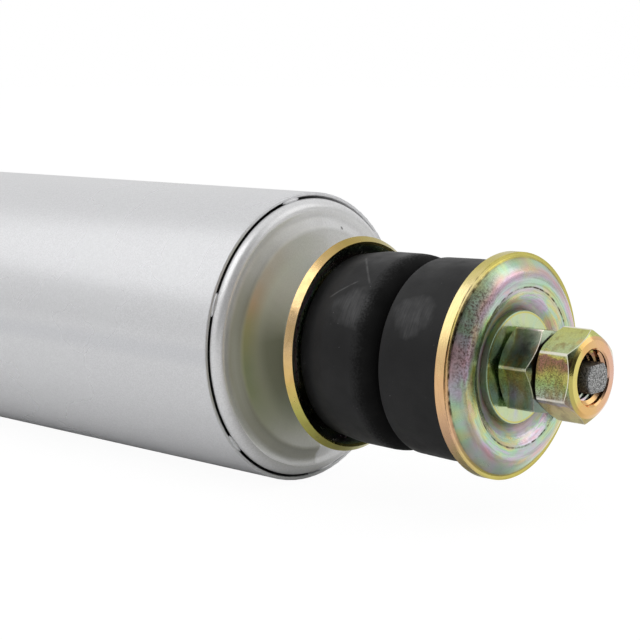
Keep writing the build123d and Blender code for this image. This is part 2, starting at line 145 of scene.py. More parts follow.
def lathe(name, points, body, material, segments=192, axis="X", shape=None):
    """Closed profile turned about the shock's axis, or about Y for the lower eye."""
    turned = []
    count = len(points)
    for segment in range(segments):
        angle = 2 * math.pi * segment / segments
        for along, radius in points:
            if shape:
                along, radius = shape(along, radius, angle)
            side, up = radius * math.cos(angle), radius * math.sin(angle)
            place = (along, side, up) if axis == "X" else (side, along, up)
            turned.append(Vector(place) * MM)
    faces = []
    for segment in range(segments):
        here, there = segment * count, (segment + 1) % segments * count
        for index in range(count):
            ahead = (index + 1) % count
            face = (here + index, here + ahead, there + ahead, there + index)
            faces.append(face if axis == "Y" else face[::-1])
    return finish_mesh(name, turned, faces, body, material)


# Materials


class Network:
    """Shader nodes of a material or of the world."""

    def __init__(self, tree):
        self.tree = tree

    def add(self, kind, inputs=None, **settings):
        node = self.tree.nodes.new(kind)
        for key, value in settings.items():
            setattr(node, key, value)
        for key, value in (inputs or {}).items():
            self.feed(node.inputs[key], value)
        return node

    def feed(self, socket, value):
        if isinstance(value, bpy.types.NodeSocket):
            self.tree.links.new(value, socket)
        else:
            socket.default_value = value

    def math(self, operation, first, second=0.0):
        return self.add("ShaderNodeMath", {0: first, 1: second}, operation=operation).outputs[0]

    def plus(self, first, second):
        return self.math("ADD", first, second)

    def times(self, first, second):
        return self.math("MULTIPLY", first, second)

    def span(self, value, low, high, out_low=0.0, out_high=1.0):
        """Value mapped from low..high to out_low..out_high, held at the ends."""
        inputs = {
            "Value": value,
            "From Min": low,
            "From Max": high,
            "To Min": out_low,
            "To Max": out_high,
        }
        return self.add("ShaderNodeMapRange", inputs).outputs["Result"]

    def span_mm(self, value, low, high, out_low=0.0, out_high=1.0):
        """The same for a length, with low and high in millimetres."""
        return self.span(value, low * MM, high * MM, out_low, out_high)


class Recipe(Network):
    """Procedural material on Object coordinates, in metres."""

    def __init__(self, name, roughness, metallic=0.0):
        self.material = bpy.data.materials.new(name)
        self.material.use_nodes = True
        super().__init__(self.material.node_tree)
        self.shader = self.tree.nodes["Principled BSDF"]
        self.set("Roughness", roughness)
        self.set("Metallic", metallic)
        self.place = self.add("ShaderNodeTexCoord").outputs["Object"]

    def set(self, name, value):
        self.feed(self.shader.inputs[name], value)

    # Places on the piece

    def axes(self):
        """The three coordinates of the place, in metres."""
        return self.add("ShaderNodeSeparateXYZ", {0: self.place}).outputs

    def flat(self):
        """The place brought down along the shock's axis."""
        inputs = {0: self.place, 1: (0, 1, 1)}
        return self.add("ShaderNodeVectorMath", inputs, operation="MULTIPLY").outputs[0]

    def radius(self):
        """Distance from the shock's axis."""
        node = self.add("ShaderNodeVectorMath", {0: self.flat()}, operation="LENGTH")
        return node.outputs["Value"]

    def away_from(self, centre):
        """Distance from a line through the centre that runs beside the shock's axis."""
        node = self.add("ShaderNodeVectorMath", {0: self.flat(), 1: centre}, operation="DISTANCE")
        return node.outputs["Value"]

    def angle(self):
        """Degrees round the shock's axis, 0 on top and 90 on the side towards -Y."""
        side, up = self.axes()[1:]
        turn = self.math("ARCTAN2", self.times(side, -1.0), up)
        return self.math("DEGREES", turn)

    def polar(self, radial, around):
        """Vector that changes with the radius and along X, and slowly round the axis."""
        along, side, up = self.axes()
        radius = self.radius()
        inputs = {
            0: self.times(self.plus(radius, along), radial),
            1: self.times(self.math("DIVIDE", side, radius), around),
            2: self.times(self.math("DIVIDE", up, radius), around),
        }
        return self.add("ShaderNodeCombineXYZ", inputs).outputs[0]

    # Patterns

    def noise(self, vector, scale, detail, roughness):
        """Noise from 0 to 1 on a given vector."""
        inputs = {"Vector": vector, "Scale": scale, "Detail": detail, "Roughness": roughness}
        return self.add("ShaderNodeTexNoise", inputs).outputs[0]

    def grain(self, scale, detail=2.0, roughness=0.5, stretch=(1, 1, 1)):
        """Noise from 0 to 1, scale in features per metre."""
        inputs = {0: self.place, 1: stretch}
        spread = self.add("ShaderNodeVectorMath", inputs, operation="MULTIPLY")
        return self.noise(spread.outputs[0], scale, detail, roughness)

    def rings(self, radial, around, detail=3, roughness=0.6):
        """Noise from 0 to 1 that runs round the piece in rings."""
        return self.noise(self.polar(radial, around), 1.0, detail, roughness)

    def clouds(self, radial, around, swing):
        """Slow wander of plus or minus swing that runs round the piece."""
        return self.span(self.rings(radial, around, 3, 0.55), 0.2, 0.8, -swing, swing)

    def cells(self, scale):
        """Voronoi cells, scale in cells per metre."""
        return self.add("ShaderNodeTexVoronoi", {"Vector": self.place, "Scale": scale}).outputs

    def band(self, value, low, high, soft):
        """1 between low and high, fading to 0 over soft outside them."""
        rise = self.span(value, low - soft, low)
        fall = self.span(value, high, high + soft, 1.0, 0.0)
        return self.times(rise, fall)

    def band_mm(self, value, low, high, soft):
        """The same for a length, with the limits in millimetres."""
        return self.band(value, low * MM, high * MM, soft * MM)

    def sector(self, angle, rise, fall, before=0.0, after=0.0):
        """1 on the side of the piece between two fades, each as (from, to) in degrees."""
        return self.times(self.span(angle, *rise, before, 1), self.span(angle, *fall, 1, after))

    # Colours

    def ramp(self, value, stops):
        """Colours that follow a value, as (place, colour) stops."""
        node = self.add("ShaderNodeValToRGB", {0: value})
        elements = node.color_ramp.elements
        while len(elements) < len(stops):
            elements.new(1.0)
        for element, (place, colour) in zip(elements, stops):
            element.position = place
            element.color = (*colour, 1.0)
        return node.outputs["Color"]

    def stops(self, value, places, unit=1.0):
        """Colours at places along a value, the places given in the unit."""
        low, high = places[0][0] * unit, places[-1][0] * unit
        spread = [((place * unit - low) / (high - low), colour) for place, colour in places]
        return self.ramp(self.span(value, low, high), spread)

    def mix(self, factor, first, second):
        """Colour between two colours."""
        node = self.add("ShaderNodeMix", data_type="RGBA")
        colours = [socket for socket in node.inputs if socket.type == "RGBA"]
        self.feed(node.inputs[0], factor)
        for socket, colour in zip(colours, (first, second)):
            self.feed(socket, (*colour, 1.0) if isinstance(colour, tuple) else colour)
        return [socket for socket in node.outputs if socket.type == "RGBA"][0]

    def bump(self, height, distance, strength):
        """Relief from a height of 0 to 1, as deep as the distance in metres."""
        inputs = {"Height": height, "Distance": distance, "Strength": strength}
        self.set("Normal", self.add("ShaderNodeBump", inputs).outputs["Normal"])


# Silver paint

FLAKES_PER_METRE = 5200.0
TUBE_SILVER = ((0.65, 0.653, 0.665), (0.76, 0.763, 0.78))
CAP_SILVER = ((0.74, 0.74, 0.745), (0.88, 0.88, 0.89))
BROAD_SILVER = (0.68, 0.683, 0.69)
PAINT_ROUGHNESS = (0.27, 0.31)
# Painted black shade in the gap round the cap, also the colour of the cap's dark speck
GAP_SHADE_AND_SPECK_BLACK = (0.012, 0.012, 0.012)

# The black gap between tube and cap, painted shade: the depths in millimetres that it starts
# between, and the degrees round the axis between which it grows fainter past the top
GROOVE_DEPTH = (0.85, 0.7)
GAP_FADE = (-25, 5)

# A faint bluish band along the side of the tube, in degrees: a painted reflection of the studio's
# horizon
PAINTED_HORIZON_BAND = (89.5, 92.5, 3.5)
PAINTED_HORIZON_SHARE = 0.16
PAINTED_HORIZON_SILVER = (0.40, 0.42, 0.47)


def blend(first, second, share):
    """Colour part of the way from first to second."""
    return tuple(a + (b - a) * share for a, b in zip(first, second))


def flakes(recipe, dark, light):
    """Tone of fine metal flakes, each a little darker or lighter than the next."""
    cell = recipe.cells(FLAKES_PER_METRE)["Color"]
    chance = recipe.add("ShaderNodeSeparateColor", {0: cell}).outputs[0]
    return recipe.ramp(chance, [(0.0, dark), (0.5, blend(dark, light, 0.45)), (1.0, light)])


def groove_shade(paint):
    """1 in the groove behind the tube's end, where black is painted as shade."""
    radius = paint.plus(paint.radius(), paint.clouds(200, 14, 0.00012))
    low, high = [TUBE_RADIUS - depth for depth in GROOVE_DEPTH]
    shade = paint.span_mm(radius, low, high, 1, 0)
    return paint.times(shade, paint.span(paint.angle(), *GAP_FADE, 0.35, 1.0))


def silver_paint(name="silver_paint", groove=False):
    """Satin metallic paint with fine flake; with the groove, a painted horizon reflection and
    painted black shade in it.
    """
    paint = Recipe(name, 0.28, 0.5)
    tone = flakes(paint, *TUBE_SILVER)
    broad = paint.span(paint.grain(22, 4), 0.4, 0.7, 0.0, 0.25)
    colour = paint.mix(broad, tone, BROAD_SILVER)
    if groove:
        # Painted reflection of the horizon along the side of the tube
        painted_horizon = paint.times(paint.band(paint.angle(), *PAINTED_HORIZON_BAND), PAINTED_HORIZON_SHARE)
        colour = paint.mix(painted_horizon, colour, PAINTED_HORIZON_SILVER)
        # Painted black shade in the groove behind the tube's end
        shade = groove_shade(paint)
        colour = paint.mix(shade, colour, GAP_SHADE_AND_SPECK_BLACK)
        paint.set("Metallic", paint.span(shade, 0, 1, 0.5, 0.0))
    paint.set("Base Color", colour)
    paint.set("Roughness", paint.span(broad, 0.0, 0.25, *PAINT_ROUGHNESS))
    paint.bump(paint.grain(1800, 2), 0.00002, 0.12)
    return paint.material


# Dust cap: silver overspray over yellow zinc

# Tints where the zinc shows through, by radius in millimetres
CAP_TINTS = [
    (15.0, (0.88, 0.88, 0.76)),
    (19.0, (0.82, 0.83, 0.66)),
    (21.8, (0.58, 0.58, 0.42)),
    (22.6, (0.38, 0.37, 0.26)),
    (23.4, (0.22, 0.21, 0.15)),
    (24.8, (0.38, 0.37, 0.29)),
    (26.4, (0.60, 0.60, 0.58)),
]

# Tints of the edge of the cap's face, by degrees round the axis: orange, and darker from 80 to 105
# degrees as painted shade on the side
EDGE_TINTS_AND_SHADE = [
    (20.0, (0.56, 0.56, 0.48)),
    (45.0, (0.60, 0.49, 0.33)),
    (62.0, (0.64, 0.43, 0.22)),
    (80.0, (0.42, 0.40, 0.15)),
    (105.0, (0.28, 0.33, 0.15)),
    (150.0, (0.56, 0.56, 0.50)),
]
# Olive of the painted shade on the side of the cap's face
OLIVE_PAINTED_SHADE = (0.185, 0.205, 0.11)

# Radii in millimetres between which a zone of the cap fades in or out; the first is the olive
# painted shade on the side
CAP_SHADED_SIDE = (16.0, 24.0)
CAP_FACE = (18.0, 21.5)
CAP_FACE_END = (22.4, 23.2)
CAP_BEAD = (24.9, 26.9)

# A dark speck in the valley, in metres, and the radii it fades between in millimetres
CAP_SPECK = (0, 7.2 * MM, 22.3 * MM)
SPECK_RADII = (0.22, 0.42)


def cap_tint(paint, radius, angle):
    """Colour of the zinc: pale on the face, orange round the face's edge, with olive painted shade
    on the side.
    """
    tint = paint.stops(radius, CAP_TINTS, MM)
    # Olive painted shade over the side of the face, away from the light
    olive = paint.times(paint.span_mm(radius, *CAP_SHADED_SIDE, 0.85, 0.3), paint.span(angle, 45, 85))
    tint = paint.mix(olive, tint, OLIVE_PAINTED_SHADE)
    edge = paint.times(
        paint.span_mm(radius, *CAP_FACE), paint.span_mm(radius, *CAP_FACE_END, 0.9, 0.0)
    )
    return paint.mix(edge, tint, paint.stops(angle, EDGE_TINTS_AND_SHADE))


def cap_shade(paint, angle):
    """1 in the black gap round the cap, which is painted shade, and a little less in its speck."""
    gap = paint.span_mm(paint.axes()[0], TUBE_END + 0.05, TUBE_END + 0.15, 1.0, 0.0)
    rim = paint.span_mm(paint.radius(), TUBE_RADIUS - 1.5, TUBE_RADIUS - 1.4)
    gap_shade = paint.times(paint.times(gap, rim), paint.span(angle, *GAP_FADE, 0.3, 1))
    speck = paint.span_mm(paint.away_from(CAP_SPECK), *SPECK_RADII, 0.8, 0.0)
    return paint.math("MAXIMUM", gap_shade, speck)


def cap_paint():
    """Silver overspray over yellow zinc, thin in the pressed valley and on the face's edge, kept
    silver towards the top as painted light.
    """
    paint = Recipe("cap_paint", 0.28, 0.5)
    silver = flakes(paint, *CAP_SILVER)
    radius = paint.plus(paint.radius(), paint.clouds(60, 1.2, 0.0004))
    angle = paint.plus(paint.angle(), paint.clouds(20, 1.5, 14))
    within = paint.span_mm(radius, *CAP_BEAD, 0.9, 0.0)
    # Less zinc shows towards the top: painted light that makes the cap lighter there
    bare_and_painted_light = paint.times(paint.sector(angle, (-10, 65), (125, 165), 0, 0.7), within)
    colour = paint.mix(bare_and_painted_light, silver, cap_tint(paint, radius, angle))
    shade = cap_shade(paint, angle)
    dull = paint.times(paint.span(angle, -60, 0), within)
    paint.set("Base Color", paint.mix(shade, colour, GAP_SHADE_AND_SPECK_BLACK))
    paint.set("Metallic", paint.span(paint.math("MAXIMUM", shade, dull), 0, 1, 0.42, 0.08))
    paint.set("Roughness", paint.span(bare_and_painted_light, 0, 1, 0.27, 0.33))
    paint.bump(paint.grain(1600, 2), 0.00002, 0.12)
    return paint.material


# Yellow zinc

# Fine marks over the tints, with the painted shade in the cup's creases and between the nuts, and
# the cup's speckle that also holds a painted dark reflection
RING_LINES = (0.16, 0.11, 0.07)
CUP_SPECKLE_AND_REFLECTION = (0.10, 0.05, 0.04)
BRUSH_LINES = (0.44, 0.26, 0.10)
NUT_STREAKS = (0.30, 0.20, 0.06)
NUT_SPECKLE = (0.12, 0.10, 0.04)
CREASE_SHADE_BLACK = (0.05, 0.03, 0.015)
SEAM_SHADE_BLACK = (0.02, 0.015, 0.01)


def zinc_skin(zinc, colour, roughness=0.2, dull=None):
    """Give a yellow zinc its colour and its thin grainy skin, duller where the film is thick."""
    zinc.set("Base Color", colour)
    grit = zinc.grain(900, 3)
    gloss = zinc.span(grit, 0.3, 0.7, roughness - 0.05, roughness + 0.09)
    if dull:
        zinc.set("Metallic", zinc.span(dull, 0, 1, 1.0, 0.5))
        gloss = zinc.plus(gloss, zinc.times(dull, 0.22))
    zinc.set("Roughness", gloss)
    zinc.bump(zinc.grain(2600, 3), 0.00002, 0.55)
    return zinc.material


# Tints of the cup washers by radius in millimetres
CUP_TINTS = [
    (10.6, (0.56, 0.40, 0.30)),
    (11.2, (0.60, 0.42, 0.38)),
    (12.0, (0.68, 0.50, 0.58)),
    (13.0, (0.62, 0.56, 0.68)),
    (13.8, (0.70, 0.66, 0.46)),
    (14.6, (0.66, 0.58, 0.62)),
    (15.3, (0.42, 0.66, 0.42)),
    (16.2, (0.50, 0.66, 0.54)),
    (17.0, (0.66, 0.50, 0.62)),
    (18.0, (0.76, 0.46, 0.46)),
    (18.8, (0.50, 0.56, 0.50)),
    (19.4, (0.42, 0.62, 0.44)),
    (20.1, (0.40, 0.46, 0.26)),
    (20.6, (0.70, 0.52, 0.15)),
    (21.4, (0.62, 0.40, 0.12)),
]

# Tints of the loose patches over the rings, by the share of the noise
PATCH_TINTS = [
    (0.32, (0.72, 0.42, 0.50)),
    (0.42, (0.56, 0.50, 0.64)),
    (0.50, (0.42, 0.66, 0.46)),
    (0.58, (0.66, 0.66, 0.22)),
    (0.68, (0.76, 0.48, 0.30)),
]

# Tints of the upper cup's rim and of the lower cup's lip, by degrees round the axis; the brightest
# stops, from 45 to 75 degrees, are a painted highlight
RIM_TINTS_AND_HIGHLIGHT = [
    (-180.0, (0.60, 0.52, 0.12)),
    (-30.0, (0.52, 0.48, 0.12)),
    (20.0, (0.64, 0.56, 0.14)),
    (45.0, (0.98, 0.82, 0.42)),
    (62.0, (0.98, 0.78, 0.36)),
    (85.0, (0.84, 0.52, 0.26)),
    (120.0, (0.74, 0.46, 0.28)),
    (150.0, (0.62, 0.54, 0.16)),
    (180.0, (0.60, 0.52, 0.12)),
]
LIP_TINTS_AND_HIGHLIGHT = [
    (-180.0, (0.52, 0.50, 0.12)),
    (-30.0, (0.50, 0.44, 0.12)),
    (15.0, (0.46, 0.34, 0.10)),
    (45.0, (0.86, 0.60, 0.28)),
    (75.0, (0.92, 0.64, 0.34)),
    (100.0, (0.76, 0.52, 0.18)),
    (120.0, (0.62, 0.60, 0.16)),
    (160.0, (0.52, 0.48, 0.12)),
    (180.0, (0.52, 0.50, 0.12)),
]
RIM_WIDTH = 1.0
LIP_WIDTH = 1.5

# Creases of the upper cup, painted dark as shade, as (from radius, to radius, on one side only)
CUP_CREASES = [(14.95, 15.1, False), (20.25, 20.45, True), (21.15, 21.25, True)]

# Zones of a cup by radius: the dull dish, the dull outer slope, and the brown speckle on it, which
# also holds a painted dark reflection
DISH_EDGE = (12.6, 13.6)
DULL_SLOPE = (16.6, 19.6, 0.8)
BROWN_BELT = (17.0, 19.6, 0.9)


def cup_rings(zinc, wander):
    """Rings of colour by the radius, with loose patches and fine dark lines over them."""
    colour = zinc.stops(wander, CUP_TINTS, MM)
    patch = zinc.ramp(zinc.rings(360, 1.6), PATCH_TINTS)
    share = zinc.span(zinc.rings(240, 2.4, 2, 0.5), 0.35, 0.6, 0.15, 0.8)
    colour = zinc.mix(share, colour, patch)
    fine = zinc.span(zinc.rings(2600, 2.0, 2, 0.5), 0.45, 0.75, 0.0, 0.35)
    return zinc.mix(fine, colour, RING_LINES)


def brown_speckle_and_reflection(zinc, wander, angle):
    """Share of the brown speckle on the outer slope, over one side of the cup, where it also
    paints a dark reflection.
    """
    speckle = zinc.span(zinc.grain(2300, 3, 0.7), 0.44, 0.60, 0.15, 0.85)
    belt = zinc.band_mm(wander, *BROWN_BELT)
    return zinc.times(speckle, zinc.times(belt, zinc.sector(angle, (20, 40), (75, 105))))


def crease_shade(zinc, colour, radius, angle, creases):
    """Colour with broken dark lines of painted shade at the creases."""
    wear_and_painted_light = zinc.span(zinc.grain(700, 3), 0.35, 0.6, 0.15, 1.0)
    facing = zinc.sector(angle, (10, 50), (95, 135), 0.2, 0.2)
    for low, high, one_side in creases:
        line = zinc.times(zinc.band_mm(radius, low, high, 0.14), wear_and_painted_light)
        if one_side:
            line = zinc.times(line, facing)
        colour = zinc.mix(line, colour, CREASE_SHADE_BLACK)
    return colour


def cup_zinc(name, rim_from, rim_tints_and_highlight, creases):
    """Iridescent yellow zinc in rings round a cup washer, with a gold rim that holds a painted
    highlight, and painted shade in the creases.
    """
    zinc = Recipe(name, 0.2, 1.0)
    radius = zinc.radius()
    angle = zinc.plus(zinc.angle(), zinc.clouds(300, 3.0, 12))
    wander = zinc.plus(radius, zinc.clouds(90, 1.4, 0.0009))
    colour = cup_rings(zinc, wander)
    colour = zinc.mix(brown_speckle_and_reflection(zinc, wander, angle), colour, CUP_SPECKLE_AND_REFLECTION)
    brushed = zinc.span(zinc.rings(3600, 8.0), 0.45, 0.75, 0.0, 0.25)
    # Gold rim by angle, with a painted highlight where the key light falls
    rim = zinc.mix(brushed, zinc.stops(angle, rim_tints_and_highlight), BRUSH_LINES)
    colour = zinc.mix(zinc.span_mm(radius, rim_from - 0.1, rim_from), colour, rim)
    colour = crease_shade(zinc, colour, radius, angle, creases)
    dish = zinc.span_mm(radius, *DISH_EDGE, 1.0, 0.0)
    slope = zinc.times(zinc.band_mm(radius, *DULL_SLOPE), 0.65)
    slope = zinc.times(slope, zinc.sector(angle, (15, 45), (92, 118)))
    return zinc_skin(zinc, colour, 0.2, zinc.math("MAXIMUM", dish, slope))


# Tints of the plain washer by the share of the noise, and of its last ring and its edge; the
# edge's dark green is a painted dark reflection
WASHER_TINTS = [
    (0.30, (0.40, 0.52, 0.42)),
    (0.45, (0.46, 0.62, 0.46)),
    (0.58, (0.56, 0.64, 0.36)),
    (0.70, (0.52, 0.54, 0.58)),
]
WASHER_RING = (0.60, 0.56, 0.18)
WASHER_EDGE_REFLECTION = (0.26, 0.36, 0.24)


def washer_zinc():
    """Pale green zinc with a dark green edge that is a painted dark reflection."""
    zinc = Recipe("washer_zinc", 0.2, 1.0)
    colour = zinc.ramp(zinc.rings(60, 1.2, 3, 0.55), WASHER_TINTS)
    outer = reach("plain_washer")[2]
    ring = zinc.band_mm(zinc.radius(), outer - 0.5, outer - 0.3, 0.1)
    colour = zinc.mix(ring, colour, WASHER_RING)
    edge = zinc.span_mm(zinc.radius(), outer - 0.2, outer - 0.1)
    return zinc_skin(zinc, zinc.mix(edge, colour, WASHER_EDGE_REFLECTION))


# Tints of the nuts by height in millimetres, and of the lock nut's end face from side to side; the
# main nut's lighter stops at the top are a painted highlight
LOCK_NUT_TINTS = [
    (-8.0, (0.60, 0.54, 0.20)),
    (-6.0, (0.70, 0.56, 0.22)),
    (-4.8, (0.72, 0.54, 0.26)),
    (-4.2, (0.54, 0.44, 0.52)),
    (-3.0, (0.44, 0.52, 0.40)),
    (-1.0, (0.36, 0.50, 0.20)),
    (1.0, (0.48, 0.48, 0.13)),
    (2.6, (0.38, 0.20, 0.12)),
    (3.6, (0.36, 0.18, 0.14)),
    (4.2, (0.70, 0.62, 0.16)),
    (5.2, (0.52, 0.62, 0.34)),
    (8.0, (0.60, 0.62, 0.20)),
]
MAIN_NUT_TINTS_AND_HIGHLIGHT = [
    (-8.0, (0.26, 0.38, 0.28)),
    (-4.0, (0.30, 0.34, 0.34)),
    (-2.0, (0.26, 0.34, 0.22)),
    (0.0, (0.36, 0.36, 0.12)),
    (1.5, (0.13, 0.20, 0.13)),
    (4.0, (0.12, 0.15, 0.14)),
    (7.0, (0.30, 0.36, 0.26)),
    (8.0, (0.42, 0.48, 0.34)),
]
NUT_RING_TINTS = [
    (-8.0, (0.68, 0.62, 0.18)),
    (-5.0, (0.72, 0.60, 0.18)),
    (-3.0, (0.76, 0.46, 0.16)),
    (1.0, (0.76, 0.48, 0.22)),
    (4.0, (0.78, 0.46, 0.28)),
    (8.0, (0.72, 0.46, 0.40)),
]
# Colour of the painted highlights on the nuts' edges
POLISHED_HIGHLIGHT = (0.95, 0.92, 0.80)

# Radii of a nut's corners and of its chamfered end, and the chamfer's depth
NUT_CORNER = 8.66
NUT_FACE = 6.6
NUT_CHAMFER = 1.2

# The warm ring on the lock nut's end: the depths and the radii that it fades between
RING_START = (1.7, 1.5)
RING_OUTER = (7.4, 7.6)

# The dark line between the two nuts, painted shade
NUT_SEAM_SHADE = (reach("lock_nut")[0] - 0.15, reach("lock_nut")[0] + 0.5)


def nut_mottle(zinc, up, tints):
    """Tints down the nut, wavering, with streaks and a fine dark speckle."""
    height = zinc.plus(up, zinc.span(zinc.grain(260, 4, 0.6), 0.2, 0.8, -0.0016, 0.0016))
    colour = zinc.stops(height, tints, MM)
    streak = zinc.span(zinc.grain(170, 3, 0.6, (2.2, 1, 1)), 0.54, 0.64, 0.0, 0.6)
    colour = zinc.mix(streak, colour, NUT_STREAKS)
    speckle = zinc.span(zinc.grain(4200, 2, 0.7), 0.47, 0.58, 0.0, 0.8)
    middle = zinc.span(zinc.band_mm(up, -3.0, 3.5, 1.5), 0, 1, 0.3, 1.0)
    return zinc.mix(zinc.times(speckle, middle), colour, NUT_SPECKLE)


def nut_ring(zinc, colour, along, side, radius, tints):
    """Colour with the warm tints of the nut's end face."""
    warm = zinc.plus(side, zinc.span(zinc.grain(300, 3), 0.2, 0.8, -0.002, 0.002))
    start, full = [NUT_TOP - depth for depth in RING_START]
    cone = zinc.span_mm(along, start, full)
    inside = zinc.span_mm(radius, *RING_OUTER, 1.0, 0.0)
    return zinc.mix(zinc.times(cone, inside), colour, zinc.stops(warm, tints, MM))


def edge_highlights(zinc, along, up, radius, end):
    """Share of the painted highlights on the edges, stronger towards the top: the arcs of the
    chamfer and the six corners.
    """
    chamfer = zinc.span_mm(along, end - NUT_CHAMFER, end, NUT_CORNER * MM, NUT_FACE * MM)
    off_arc = zinc.math("ABSOLUTE", zinc.math("SUBTRACT", radius, chamfer))
    arc = zinc.times(zinc.span_mm(off_arc, 0.04, 0.2, 1, 0), zinc.span_mm(radius, 7.1, 7.4))
    corner = zinc.span_mm(radius, NUT_CORNER - 0.2, NUT_CORNER - 0.1)
    above = zinc.span_mm(up, -4.5, -2.0, 0.4, 0.9)
    return zinc.times(zinc.math("MAXIMUM", arc, corner), above)


def nut_zinc(node, tints, ring=None):
    """Mottled zinc down a nut, with painted highlights on its edges and painted shade where it
    meets the other.
    """
    zinc = Recipe(node + "_zinc", 0.2, 1.0)
    along, side, up = zinc.axes()
    radius = zinc.radius()
    colour = nut_mottle(zinc, up, tints)
    if ring:
        colour = nut_ring(zinc, colour, along, side, radius, ring)
    edges = edge_highlights(zinc, along, up, radius, reach(node)[1])
    colour = zinc.mix(edges, colour, POLISHED_HIGHLIGHT)
    colour = zinc.mix(zinc.band_mm(along, *NUT_SEAM_SHADE, 0.12), colour, SEAM_SHADE_BLACK)
    return zinc_skin(zinc, colour, 0.14)


# Rubber

DUST_GREY = (0.13, 0.13, 0.135)
# Grey of the painted highlights on the bushings
HIGHLIGHT_GREY = (0.10, 0.10, 0.102)
SCUFF_GREY = (0.12, 0.12, 0.12)

# Scuffs on the lower bushing, as (x, degrees round the axis) of their ends
SCUFFS = [((496.1, 15.0), (503.8, 41.8)), ((495.5, 53.0), (500.7, 39.0))]

# Painted highlights on the bushings, as (x, degrees), with their half length and half angle
PAINTED_HIGHLIGHTS = [(502.5, 56.0), (517.0, 57.0)]
HIGHLIGHT_LENGTH = 4.5
HIGHLIGHT_ANGLE = 13.0

# The joint of the bushings, painted black as shade: x where the black starts, where it is full,
# and where it ends
JOINT_SHADE = (504.2, 506.6, 511.0)
JOINT_SHADE_BLACK = (0.002, 0.002, 0.002)


def with_painted_highlights(skin, colour, along, angle, lines):
    """Colour with the ragged grey patches of painted highlight."""
    for place, turn in PAINTED_HIGHLIGHTS:
        aside = skin.math("DIVIDE", skin.math("SUBTRACT", along, place * MM), HIGHLIGHT_LENGTH * MM)
        round_by = skin.math("DIVIDE", skin.math("SUBTRACT", angle, turn), HIGHLIGHT_ANGLE)
        square = skin.plus(skin.math("POWER", aside, 2.0), skin.math("POWER", round_by, 2.0))
        ragged = skin.plus(square, skin.span(skin.grain(330, 3), 0.25, 0.75, -0.5, 0.7))
        patch = skin.span(ragged, 0.0, 1.3, 0.6, 0.0)
        wear_and_painted_light = skin.times(patch, skin.span(lines, 0.3, 0.65, 0.35, 1.0))
        colour = skin.mix(wear_and_painted_light, colour, HIGHLIGHT_GREY)
    return colour


def scuffed(skin, colour, along, angle, scuffs):
    """Colour with fine grey scuffs."""
    for (start, first), (end, last) in scuffs:
        share = skin.span(angle, first, last, 0.0, 1.0)
        line = skin.span(share, 0.0, 1.0, start * MM, end * MM)
        off_line = skin.math("ABSOLUTE", skin.math("SUBTRACT", along, line))
        mark = skin.span_mm(off_line, 0.05, 0.4, 0.55, 0.0)
        inside = skin.times(skin.band(share, 0.08, 0.92, 0.07), mark)
        wear_and_painted_light = skin.times(inside, skin.span(skin.grain(900, 3), 0.3, 0.6, 0.3, 1.0))
        colour = skin.mix(wear_and_painted_light, colour, SCUFF_GREY)
    return colour


def joint_shade_share(skin, along):
    """1 in the hollow where the two bushings meet, painted black as shade, with a grainy edge."""
    start, full, end = JOINT_SHADE
    grit = skin.span(skin.grain(2400, 2), 0.3, 0.7, -0.0009, 0.0009)
    rise = skin.span_mm(skin.plus(along, grit), start, full)
    return skin.times(rise, skin.span_mm(along, end, end + 0.1, 1, 0))


def rubber(name, scuffs=()):
    """Moulded black rubber with a satin skin, dust specks, faint scuffs, grey patches of painted
    highlight and painted shade in the joint.
    """
    skin = Recipe(name, 0.44, 0.0)
    along, angle = skin.axes()[0], skin.angle()
    tone = skin.ramp(
        skin.grain(110, 4), [(0.3, (0.006, 0.006, 0.0065)), (0.7, (0.011, 0.011, 0.0115))]
    )
    specks = skin.span(skin.cells(900)["Distance"], 0.05, 0.09, 1.0, 0.0)
    dust = skin.times(specks, skin.span(skin.grain(260, 1), 0.60, 0.63))
    lines = skin.rings(3400, 5.0)
    colour = skin.mix(dust, tone, DUST_GREY)
    colour = with_painted_highlights(skin, colour, along, angle, lines)
    colour = scuffed(skin, colour, along, angle, scuffs)
    joint = joint_shade_share(skin, along)
    skin.set("Base Color", skin.mix(joint, colour, JOINT_SHADE_BLACK))
    satin = skin.span(skin.grain(240, 4), 0.3, 0.7, 0.38, 0.54)
    skin.set("Roughness", skin.plus(satin, skin.times(joint, 0.4)))
    skin.set("Specular IOR Level", 0.22)
    skin.bump(skin.plus(skin.grain(2600, 3), skin.times(lines, 0.6)), 0.00004, 0.4)
    return skin.material


# Bare metals


def rod_steel():
    """Hard chrome on the rod, dark phosphate on its stem, and a rough sheared tang."""
    rod = Recipe("rod_steel", 0.12, 1.0)
    along = rod.axes()[0]
    lines = rod.grain(60, 2, 0.5, (60, 1, 1))
    chrome = rod.ramp(lines, [(0.3, (0.72, 0.73, 0.74)), (0.7, (0.80, 0.81, 0.82))])
    grit = rod.grain(3600, 3, 0.7)
    phosphate = rod.ramp(grit, [(0.36, (0.02, 0.02, 0.02)), (0.64, (0.22, 0.215, 0.21))])
    sheared = rod.ramp(
        grit, [(0.36, (0.05, 0.05, 0.05)), (0.5, (0.26, 0.26, 0.255)), (0.62, (0.75, 0.75, 0.74))]
    )
    stem = rod.span_mm(along, STEM_START - 0.1, STEM_START)
    face = rod.span_mm(along, STEM_END - 0.2, STEM_END - 0.1)
    rod.set("Base Color", rod.mix(face, rod.mix(stem, chrome, phosphate), sheared))
    rod.set("Metallic", rod.span(face, 0, 1, 1.0, 0.6))
    smooth = rod.span(lines, 0.3, 0.7, 0.08, 0.16)
    rod.set("Roughness", rod.math("MAXIMUM", smooth, rod.times(stem, 0.5)))
    rod.bump(rod.times(grit, stem), 0.0002, 0.6)
    return rod.material


